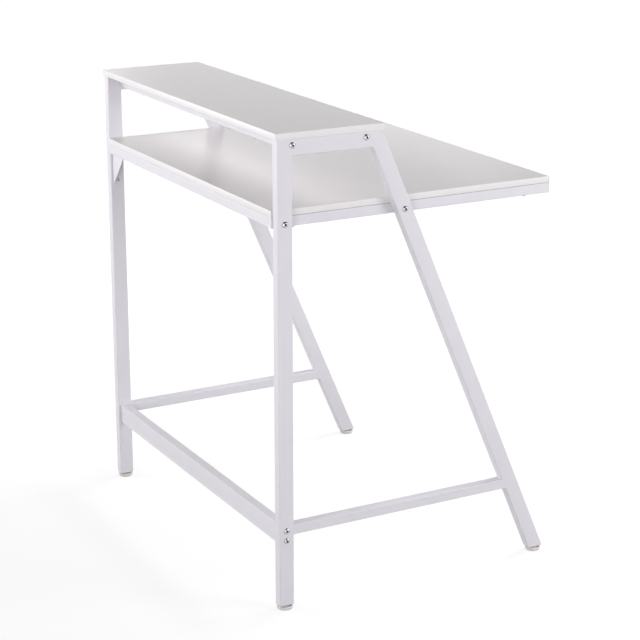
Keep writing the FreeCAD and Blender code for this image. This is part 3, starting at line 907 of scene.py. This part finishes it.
def make_foot_pad(low, high, feet, facets):
    """A round pad on the origin: soft rims, a ring below, cored out round its screw's pocket."""
    radius, height = (high.x - low.x) / 2.0, high.z - low.z - feet.shadow_gap
    rim, hub = radius - feet.rim, 9.0 * MM
    floor, hub_top = 3.0 * MM, height - 0.4 * MM
    outline = [
        (0.0, 0.5 * MM, 0.0),
        (radius * 0.42, 0.5 * MM, 0.3 * MM),
        (radius * 0.47, 0.0, 0.3 * MM),
        (radius, 0.0, feet.lower_edge),
        (radius, height, feet.upper_edge),
        (rim, height, 0.4 * MM),
        (rim - 0.2 * MM, floor, 0.5 * MM),
        (hub + 0.2 * MM, floor, 0.5 * MM),
        (hub, hub_top, 0.3 * MM),
        (0.0, hub_top, 0.0),
    ]
    pad = mesh_from("pad_blank", turned(rounded_outline(outline, steps=8), facets))
    pocket_radius = POCKET_FLAT / HEX_FLAT
    pocket = frustum(6, pocket_radius, pocket_radius, HEAD_BOTTOM, height + 1.0 * MM)
    return cut(pad, [pocket], 0.2 * MM)


def make_foot_screw(top, feet):
    """A levelling screw that stands on its hexagon head, on the origin."""
    radius = HEAD_FLAT / HEX_FLAT
    head = mesh_from("head_blank", frustum(6, radius, radius, HEAD_BOTTOM, HEAD_TOP))
    # What the lathe takes off: the chamfer on the hexagon's upper corners.
    beyond, above, clear = radius + 3.0 * MM, HEAD_TOP + 2.0 * MM, HEAD_TOP + 0.001 * MM
    chamfer = [
        (0.0, above),
        (beyond, above),
        (beyond, HEAD_TOP - 2.2 * MM),
        (HEAD_FLAT - 0.1 * MM, clear),
        (0.0, clear),
    ]
    trim = turned(chamfer, 48)
    bmesh.ops.recalc_face_normals(trim, faces=trim.faces)
    bm = bmesh_of(cut(head, [trim], 0.1 * MM))
    thread = (STUD_THREAD_DEPTH, feet.thread_pitch)
    add_thread(bm, STUD_RADIUS, *thread, HEAD_TOP - 0.5 * MM, top, 32)
    return mesh_from("levelling_screw", bm)


def place_fasteners(name, fastener, matrices, node):
    """Puts a group of plated fasteners in place of its node."""
    mesh = gather(name, fastener, matrices)
    # The second material darkens the recesses, partly as painted shade.
    materials = [material_named("barrel_plated_nickel"), material_named("thin_plated_recess_with_painted_shade")]
    place(name, mesh, materials, "nickel_bolt", replaced=(node,))


# --- Operators ---


class LADDERDESK_OT_steel(bpy.types.Operator):
    """Coat the posts, legs, rails, stretcher and gusset bracket"""

    bl_idname = "ladder_desk.steel"
    bl_label = "Coated steel"

    def execute(self, context):
        nodes = ["desktop_" + name + "_rail" for name in ("rear", "front", "left", "right")]
        nodes += ["shelf_rear_rail", "shelf_front_rail", "lower_stretcher", "gusset_bracket"]
        for side, _ in SIDES:
            for part in ("_rear_post", "_top_rail", "_front_leg", "_lower_rail"):
                nodes.append(side + part)
        dress(nodes, material_named("sprayed_and_baked_powder_coat"))
        return {"FINISHED"}


class LADDERDESK_OT_welds(bpy.types.Operator):
    """Lay the weld beads of the side frames and of the desktop's frame"""

    bl_idname = "ladder_desk.welds"
    bl_label = "Weld beads"

    def execute(self, context):
        welds = context.scene.ladder_desk_welds
        coat = material_named("sprayed_and_baked_powder_coat")
        for side, side_sign in SIDES:
            mesh = make_side_frame_welds(side, side_sign, welds)
            place(side + "_frame_weld_beads", mesh, [coat], "white_powder_coat")
        mesh = make_desktop_welds(welds)
        place("desktop_frame_weld_beads", mesh, [coat], "white_powder_coat")
        return {"FINISHED"}


class LADDERDESK_OT_boards(bpy.types.Operator):
    """Face the desktop and the shelf with laminate and band their edges"""

    bl_idname = "ladder_desk.boards"
    bl_label = "Boards and edge bands"

    def execute(self, context):
        band = material_named("extruded_abs_edge_band")
        # The glue's dark colour is painted shade in the band's joints and in the groove below it.
        shade_glue = material_named("hot_melt_glue_painted_as_shade")
        dress(("desktop_board", "shelf_board"), material_named("pressed_melamine_laminate"))
        boards = context.scene.ladder_desk_boards
        for node, joint in (("desktop_edge_band", boards.joint), ("shelf_edge_band", 0.0)):
            mesh = make_band(node, boards, joint)
            place(node + "_strips", mesh, [band, shade_glue], "white_edge_band", replaced=(node,))
        return {"FINISHED"}


class LADDERDESK_OT_bolts(bpy.types.Operator):
    """Make the twelve button-head bolts of the side frames"""

    bl_idname = "ladder_desk.bolts"
    bl_label = "Socket bolts"

    def execute(self, context):
        bolt = make_bolt(context.scene.ladder_desk_fasteners)
        spin, spin_step = 0.0, math.radians(37.0)
        for node, centres in bolt_centres().items():
            matrices = []
            for _, side_sign in SIDES:
                for y, z in centres:
                    spin += spin_step
                    position = (side_sign * outer_face, y, z)
                    matrices.append(facing(position, (side_sign, 0.0, 0.0), spin))
            place_fasteners("socket_" + node, bolt, matrices, node)
        bpy.data.meshes.remove(bolt)
        return {"FINISHED"}


class LADDERDESK_OT_screws(bpy.types.Operator):
    """Make the cross-recess screws of the boards and of the gusset bracket"""

    bl_idname = "ladder_desk.screws"
    bl_label = "Pan-head screws"

    def execute(self, context):
        fasteners = context.scene.ladder_desk_fasteners
        down = (0.0, 0.0, -1.0)
        low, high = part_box("desktop_edge_band")
        side_inset, rear_inset, front_inset = 6.5 * MM, 45.5 * MM, 54.5 * MM
        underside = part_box("desktop_rear_rail")[0].z
        desktop = []
        for _, side_sign in SIDES:
            for y in (high.y - rear_inset, low.y + front_inset):
                desktop.append((side_sign * (high.x - side_inset), y, underside))
        for rail in ("desktop_rear_rail", "desktop_front_rail"):
            desktop.append((0.0, centre_of(rail).y, underside))
        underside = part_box("shelf_rear_rail")[0].z
        shelf_x = inner_face - 120.0 * MM
        shelf = []
        for rail in ("shelf_rear_rail", "shelf_front_rail"):
            for _, side_sign in SIDES:
                shelf.append((side_sign * shelf_x, centre_of(rail).y, underside))
        low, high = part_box("gusset_bracket")
        sheet, hole_inset = 2.0 * MM, 9.5 * MM
        post_screw = (high.x - sheet, rear_foot, low.z + hole_inset)
        rail_screw = (low.x + hole_inset, high.y - 7.0 * MM, high.z - sheet)
        desktop = [facing(point, down, 0.7 * index) for index, point in enumerate(desktop)]
        shelf = [facing(point, down, 1.1 * index) for index, point in enumerate(shelf)]
        gusset = [facing(post_screw, (-1.0, 0.0, 0.0), 0.5), facing(rail_screw, down, 0.9)]
        # Node, places, length below the head and height of the head.
        groups = (
            ("desktop_board_screws", desktop, 29.0 * MM, fasteners.screw_dome),
            ("shelf_board_screws", shelf, 31.0 * MM, fasteners.low_dome),
            ("gusset_screws", gusset, 8.0 * MM, fasteners.screw_dome),
        )
        for node, matrices, length, dome in groups:
            screw = make_screw(fasteners, length, dome)
            place_fasteners("cross_recess_" + node, screw, matrices, node)
            bpy.data.meshes.remove(screw)
        return {"FINISHED"}


class LADDERDESK_OT_inner_fittings(bpy.types.Operator):
    """Give the plates and bushes inside the tubes their bare steel"""

    bl_idname = "ladder_desk.inner_fittings"
    bl_label = "Inner fittings"

    def execute(self, context):
        nodes = ("rear_foot_nut_plates", "front_foot_nut_plates", "shelf_rail_end_plates")
        nodes += ("stretcher_end_plates", "desktop_nut_bushes")
        dress(nodes, material_named("bare_rolled_steel"))
        return {"FINISHED"}


class LADDERDESK_OT_feet(bpy.types.Operator):
    """Make the four levelling feet: moulded pads on threaded screws"""

    bl_idname = "ladder_desk.feet"
    bl_label = "Levelling feet"

    def execute(self, context):
        feet = context.scene.ladder_desk_feet
        facets = 2 * context.scene.ladder_desk_fasteners.turns
        nylon = material_named("moulded_nylon")
        zinc = material_named("passivated_zinc")
        pad = make_foot_pad(*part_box("left_rear_foot_pad"), feet, facets)
        screw = make_foot_screw(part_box("left_rear_foot_screw")[1].z, feet)
        for side, side_sign in SIDES:
            for end, y in (("rear", rear_foot), ("front", front_foot)):
                foot = side + "_" + end + "_foot"
                matrix = Matrix.Translation((side_sign * tube_centre, y, 0.0))
                mesh = gather(foot + "_glide", pad, [matrix])
                place(foot + "_glide", mesh, [nylon], "foot_plastic", foot, (foot + "_pad",))
                mesh = gather(foot + "_stud", screw, [matrix])
                place(foot + "_stud", mesh, [zinc], "zinc_steel", foot, (foot + "_screw",))
        bpy.data.meshes.remove(pad)
        bpy.data.meshes.remove(screw)
        return {"FINISHED"}


WALL_TOP = 0.4  # sine of the elevation at which the room's pale walls end
FLOOR_RADIUS = 30.0
GLOW_RISE = (0.8, 5.0)  # distances from the desk where the floor's glow starts and ends
LAMP_AIM = (0.0, 0.0, 0.45)
CAMERA_POSITION = (-3.1902, 1.7413, 1.5332)
CAMERA_AZIMUTH = math.radians(241.33)  # round +Z, from a camera that looks to the rear
CAMERA_ELEVATION = math.radians(16.98)
SENSOR_WIDTH = 36.0
VIEW_DEPTH = 100.0

# Name, position, size in metres and power in watts.
LAMPS = (
    ("front_softbox", (0.8, -3.0, 2.00), (2.4, 2.0), 10.8),
    ("high_front_softbox", (0.2, -2.4, 3.00), (2.0, 1.4), 64.4),
    ("front_left_softbox", (-2.25, -1.89, 1.22), (1.2, 1.2), 37.5),
    ("left_softbox", (-2.65, -0.96, 1.63), (1.2, 1.2), 2.2),
    ("rear_left_softbox", (-2.3, 2.2, 1.00), (1.2, 1.2), 30.6),
    ("rear_right_softbox", (2.3, 2.2, 1.00), (1.2, 1.2), 35.0),
    ("high_rear_softbox", (0.0, 2.7, 2.50), (2.4, 1.0), 28.2),
    ("right_softbox", (3.0, 0.0, 1.40), (1.6, 1.6), 10.0),
    ("low_right_softbox", (3.2, -1.7, 1.05), (1.6, 0.5), 5.5),
)


class LADDERDESK_OT_stage(bpy.types.Operator):
    """Set the floor, the lamps, the room light and the camera"""

    bl_idname = "ladder_desk.stage"
    bl_label = "Stage"

    def execute(self, context):
        scene = context.scene
        stage = scene.ladder_desk_stage
        self.lay_floor(scene, stage)
        for name, position, (width, height), power in LAMPS:
            lamp = bpy.data.lights.new(name, "AREA")
            lamp.shape = "RECTANGLE"
            lamp.size = width
            lamp.size_y = height
            lamp.energy = power
            direction = Vector(LAMP_AIM) - Vector(position)
            self.hold(scene, name, lamp, position, direction).visible_camera = False
        scene.world = self.light_room(stage)
        camera = bpy.data.cameras.new("camera")
        camera.lens = stage.focal_length
        camera.sensor_width = SENSOR_WIDTH
        camera.clip_end = VIEW_DEPTH
        level = math.cos(CAMERA_ELEVATION)
        backward = (
            math.sin(CAMERA_AZIMUTH) * level,
            -math.cos(CAMERA_AZIMUTH) * level,
            math.sin(CAMERA_ELEVATION),
        )
        scene.camera = self.hold(scene, "camera", camera, CAMERA_POSITION, -Vector(backward))
        scene.view_settings.view_transform = "Standard"
        return {"FINISHED"}

    def hold(self, scene, name, data, position, direction):
        """Puts a lamp or the camera at a position, turned to a direction."""
        holder = bpy.data.objects.new(name, data)
        holder.location = position
        holder.rotation_mode = "QUATERNION"
        holder.rotation_quaternion = direction.to_track_quat("-Z", "Y")
        scene.collection.objects.link(holder)
        return holder

    def light_room(self, stage):
        """A room whose pale walls are brightest at the horizon and fade towards the ceiling."""
        world = bpy.data.worlds.new("studio")
        world.use_nodes = True
        tree = world.node_tree
        tree.nodes.clear()
        direction = add_node(tree, "ShaderNodeTexCoord").outputs["Generated"]
        rise = add_node(tree, "ShaderNodeSeparateXYZ", {"Vector": direction}).outputs["Z"]
        fade = {
            "Value": rise,
            "From Max": WALL_TOP,
            "To Min": stage.wall_light,
            "To Max": stage.ceiling_light,
        }
        level = add_node(tree, "ShaderNodeMapRange", fade).outputs["Result"]
        light = add_node(tree, "ShaderNodeBackground", {"Strength": level})
        add_node(tree, "ShaderNodeOutputWorld", {"Surface": light.outputs["Background"]})
        return world

    def lay_floor(self, scene, stage):
        """A wide matt floor that the camera sees as white, with the desk's shadow on it."""
        bm = bmesh.new()
        bmesh.ops.create_circle(bm, cap_ends=True, segments=96, radius=FLOOR_RADIUS)
        floor = bpy.data.objects.new("floor", mesh_from("floor", bm))
        material, tree, position = new_material("studio_floor")
        path = add_node(tree, "ShaderNodeLightPath").outputs
        distance = add_node(tree, "ShaderNodeVectorMath", {0: position}, operation="LENGTH")
        rise = {
            "Value": distance.outputs["Value"],
            "From Min": GLOW_RISE[0],
            "From Max": GLOW_RISE[1],
            "To Min": stage.near_glow,
            "To Max": stage.far_glow,
        }
        glow = add_node(tree, "ShaderNodeMapRange", rise).outputs["Result"]
        seen = path["Is Camera Ray"]
        for ray in ("Is Glossy Ray", "Is Transmission Ray"):
            either = add_node(tree, "ShaderNodeMath", {0: seen, 1: path[ray]}, operation="MAXIMUM")
            seen = either.outputs[0]
        strength = add_node(tree, "ShaderNodeMath", {0: seen, 1: glow}, operation="MULTIPLY")
        white = add_node(tree, "ShaderNodeEmission", {"Strength": strength.outputs[0]})
        paper = add_node(tree, "ShaderNodeBsdfDiffuse", {"Color": rgba(stage.floor)})
        both = add_node(tree, "ShaderNodeAddShader", {0: paper.outputs[0], 1: white.outputs[0]})
        add_node(tree, "ShaderNodeOutputMaterial", {"Surface": both.outputs[0]})
        floor.data.materials.append(material)
        scene.collection.objects.link(floor)


OPERATORS = (
    LADDERDESK_OT_stage,
    LADDERDESK_OT_steel,
    LADDERDESK_OT_welds,
    LADDERDESK_OT_boards,
    LADDERDESK_OT_bolts,
    LADDERDESK_OT_screws,
    LADDERDESK_OT_inner_fittings,
    LADDERDESK_OT_feet,
)


class LADDERDESK_PT_panel(bpy.types.Panel):
    """The desk's operators and their settings"""

    bl_label = "Ladder desk"
    bl_space_type = "VIEW_3D"
    bl_region_type = "UI"
    bl_category = "Ladder desk"

    def draw(self, context):
        for operator in OPERATORS:
            self.layout.operator(operator.bl_idname)
        for name, group in SETTINGS.items():
            box = self.layout.box()
            box.label(text=group.__doc__)
            for setting in group.__annotations__:
                box.prop(getattr(context.scene, name), setting)


def register():
    """Registers the settings, the operators and the panel."""
    for name, group in SETTINGS.items():
        bpy.utils.register_class(group)
        setattr(bpy.types.Scene, name, PointerProperty(type=group))
    for item in OPERATORS + (LADDERDESK_PT_panel,):
        bpy.utils.register_class(item)


def unregister():
    """Takes away what register() added."""
    for item in (LADDERDESK_PT_panel,) + OPERATORS:
        bpy.utils.unregister_class(item)
    for name, group in SETTINGS.items():
        delattr(bpy.types.Scene, name)
        bpy.utils.unregister_class(group)


def main():
    """Builds everything."""
    register()
    for operator in OPERATORS:
        getattr(bpy.ops.ladder_desk, operator.bl_idname.split(".")[1])()
    bpy.context.view_layer.update()


if __name__ == "__main__":
    main()
